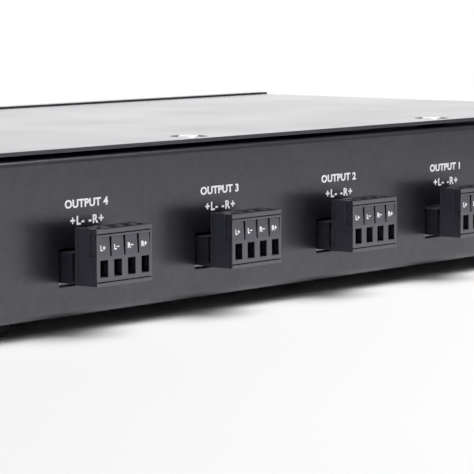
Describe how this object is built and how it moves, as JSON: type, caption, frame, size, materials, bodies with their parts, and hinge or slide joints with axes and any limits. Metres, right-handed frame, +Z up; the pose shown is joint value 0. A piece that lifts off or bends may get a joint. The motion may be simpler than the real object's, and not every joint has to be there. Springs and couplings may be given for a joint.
{
  "type": "speaker selector switch",
  "caption": "Low metal case with push buttons in front and a row of pluggable screw terminals at the rear, for switching one amplifier between loudspeakers.",
  "frame": {"origin": "on the surface that the feet stand on, under the middle of the whole selector's box", "axes": "+X to the right seen from the front, +Y from the front to the terminals at the rear, +Z up"},
  "size_m": [0.302, 0.1714, 0.048],
  "materials": {
    "case_paint": "fine satin powder coat, near black",
    "fascia_paint": "fine satin powder coat, black",
    "bright_screws": "bright zinc plate",
    "rubber": "matt moulded rubber",
    "board": "solder mask over glass epoxy",
    "standoff_metal": "turned, plated",
    "resistor_ceramic": "matt white ceramic, cement filled",
    "lead_wire": "tinned wire",
    "switch_plastic": "moulded, matt",
    "plunger_plastic": "moulded, pale",
    "spring_steel": "drawn wire",
    "button_plastic": "moulded, fine texture",
    "header_plastic": "moulded, matt",
    "plug_plastic": "moulded, matt, dark grey",
    "pin_metal": "tin plate",
    "contact_metal": "tinned brass strip",
    "clamp_metal": "zinc-plated steel",
    "clamp_screw_metal": "bright zinc plate"
  },
  "bodies": {
    "case": {"base_chassis": "case_paint", "top_cover": "case_paint", "front_fascia": "fascia_paint", "cover_screws": "bright_screws", "fascia_screws": "bright_screws", "rubber_feet": "rubber", "foot_screws": "bright_screws", "circuit_board": "board", "board_standoffs": "standoff_metal", "board_screws": "bright_screws", "power_resistors": "resistor_ceramic", "resistor_leads": "lead_wire", "push_switches": "switch_plastic", "protection_switch": "switch_plastic", "switch_legs": "pin_metal", "header_pins": "pin_metal", "button_spring_1": "spring_steel", "button_spring_2": "spring_steel", "button_spring_3": "spring_steel", "button_spring_4": "spring_steel", "header_out_4": "header_plastic", "header_out_3": "header_plastic", "header_out_2": "header_plastic", "header_out_1": "header_plastic", "header_input": "header_plastic"},
    "protection_lever": {"protection_lever": "plunger_plastic"},
    "button_1": {"button_1": "button_plastic", "switch_plunger_1": "plunger_plastic"},
    "button_2": {"button_2": "button_plastic", "switch_plunger_2": "plunger_plastic"},
    "button_3": {"button_3": "button_plastic", "switch_plunger_3": "plunger_plastic"},
    "button_4": {"button_4": "button_plastic", "switch_plunger_4": "plunger_plastic"},
    "plug_out_4": {"plug_out_4": "plug_plastic", "contacts_out_4": "contact_metal", "clamp_cages_out_4": "clamp_metal", "clamp_screws_out_4": "clamp_screw_metal"},
    "plug_out_3": {"plug_out_3": "plug_plastic", "contacts_out_3": "contact_metal"},
    "clamp_screw_out_3a": {"clamp_screw_out_3a": "clamp_screw_metal"},
    "clamp_cage_out_3a": {"clamp_cage_out_3a": "clamp_metal"},
    "clamp_screw_out_3b": {"clamp_screw_out_3b": "clamp_screw_metal"},
    "clamp_cage_out_3b": {"clamp_cage_out_3b": "clamp_metal"},
    "clamp_screw_out_3c": {"clamp_screw_out_3c": "clamp_screw_metal"},
    "clamp_cage_out_3c": {"clamp_cage_out_3c": "clamp_metal"},
    "clamp_screw_out_3d": {"clamp_screw_out_3d": "clamp_screw_metal"},
    "clamp_cage_out_3d": {"clamp_cage_out_3d": "clamp_metal"},
    "plug_out_2": {"plug_out_2": "plug_plastic", "contacts_out_2": "contact_metal", "clamp_cages_out_2": "clamp_metal", "clamp_screws_out_2": "clamp_screw_metal"},
    "plug_out_1": {"plug_out_1": "plug_plastic", "contacts_out_1": "contact_metal", "clamp_cages_out_1": "clamp_metal", "clamp_screws_out_1": "clamp_screw_metal"},
    "plug_input": {"plug_input": "plug_plastic", "contacts_input": "contact_metal", "clamp_cages_input": "clamp_metal", "clamp_screws_input": "clamp_screw_metal"}
  },
  "joints": [
    {"name": "press_button_1", "type": "slide", "parent": "case", "child": "button_1", "axis": [0, 1, 0], "range_m": [0, 0.0035], "stiffness_N_per_m": 600, "deforming": ["button_spring_1"]},
    {"name": "press_button_2", "type": "slide", "parent": "case", "child": "button_2", "axis": [0, 1, 0], "range_m": [0, 0.0035], "stiffness_N_per_m": 600, "deforming": ["button_spring_2"]},
    {"name": "press_button_3", "type": "slide", "parent": "case", "child": "button_3", "axis": [0, 1, 0], "range_m": [0, 0.0035], "stiffness_N_per_m": 600, "deforming": ["button_spring_3"]},
    {"name": "press_button_4", "type": "slide", "parent": "case", "child": "button_4", "axis": [0, 1, 0], "range_m": [0, 0.0035], "stiffness_N_per_m": 600, "deforming": ["button_spring_4"]},
    {"name": "pull_plug_out_4", "type": "slide", "parent": "case", "child": "plug_out_4", "axis": [0, 1, 0], "range_m": [0, 0.015]},
    {"name": "pull_plug_out_3", "type": "slide", "parent": "case", "child": "plug_out_3", "axis": [0, 1, 0], "range_m": [0, 0.015]},
    {"name": "turn_clamp_screw_out_3a", "type": "hinge", "parent": "plug_out_3", "child": "clamp_screw_out_3a", "pos_m": [0.05962, 0.08205, 0.0265], "axis": [0, 0, 1], "range_deg": [-2160.1, 0]},
    {"name": "lift_clamp_cage_out_3a", "type": "slide", "parent": "plug_out_3", "child": "clamp_cage_out_3a", "axis": [0, 0, 1], "range_m": [0, 0.003]},
    {"name": "turn_clamp_screw_out_3b", "type": "hinge", "parent": "plug_out_3", "child": "clamp_screw_out_3b", "pos_m": [0.05454, 0.08205, 0.0265], "axis": [0, 0, 1], "range_deg": [-2160.1, 0]},
    {"name": "lift_clamp_cage_out_3b", "type": "slide", "parent": "plug_out_3", "child": "clamp_cage_out_3b", "axis": [0, 0, 1], "range_m": [0, 0.003]},
    {"name": "turn_clamp_screw_out_3c", "type": "hinge", "parent": "plug_out_3", "child": "clamp_screw_out_3c", "pos_m": [0.04946, 0.08205, 0.0265], "axis": [0, 0, 1], "range_deg": [-2160.1, 0]},
    {"name": "lift_clamp_cage_out_3c", "type": "slide", "parent": "plug_out_3", "child": "clamp_cage_out_3c", "axis": [0, 0, 1], "range_m": [0, 0.003]},
    {"name": "turn_clamp_screw_out_3d", "type": "hinge", "parent": "plug_out_3", "child": "clamp_screw_out_3d", "pos_m": [0.04438, 0.08205, 0.0265], "axis": [0, 0, 1], "range_deg": [-2160.1, 0]},
    {"name": "lift_clamp_cage_out_3d", "type": "slide", "parent": "plug_out_3", "child": "clamp_cage_out_3d", "axis": [0, 0, 1], "range_m": [0, 0.003]},
    {"name": "pull_plug_out_2", "type": "slide", "parent": "case", "child": "plug_out_2", "axis": [0, 1, 0], "range_m": [0, 0.015]},
    {"name": "pull_plug_out_1", "type": "slide", "parent": "case", "child": "plug_out_1", "axis": [0, 1, 0], "range_m": [0, 0.015]},
    {"name": "pull_plug_input", "type": "slide", "parent": "case", "child": "plug_input", "axis": [0, 1, 0], "range_m": [0, 0.015]},
    {"name": "slide_protection_lever", "type": "slide", "parent": "case", "child": "protection_lever", "axis": [1, 0, 0], "range_m": [0, 0.004]}
  ],
  "couplings": [
    {"joint": "turn_clamp_screw_out_3a", "follows": "lift_clamp_cage_out_3a", "rad_per_m": -12566},
    {"joint": "turn_clamp_screw_out_3b", "follows": "lift_clamp_cage_out_3b", "rad_per_m": -12566},
    {"joint": "turn_clamp_screw_out_3c", "follows": "lift_clamp_cage_out_3c", "rad_per_m": -12566},
    {"joint": "turn_clamp_screw_out_3d", "follows": "lift_clamp_cage_out_3d", "rad_per_m": -12566}
  ]
}
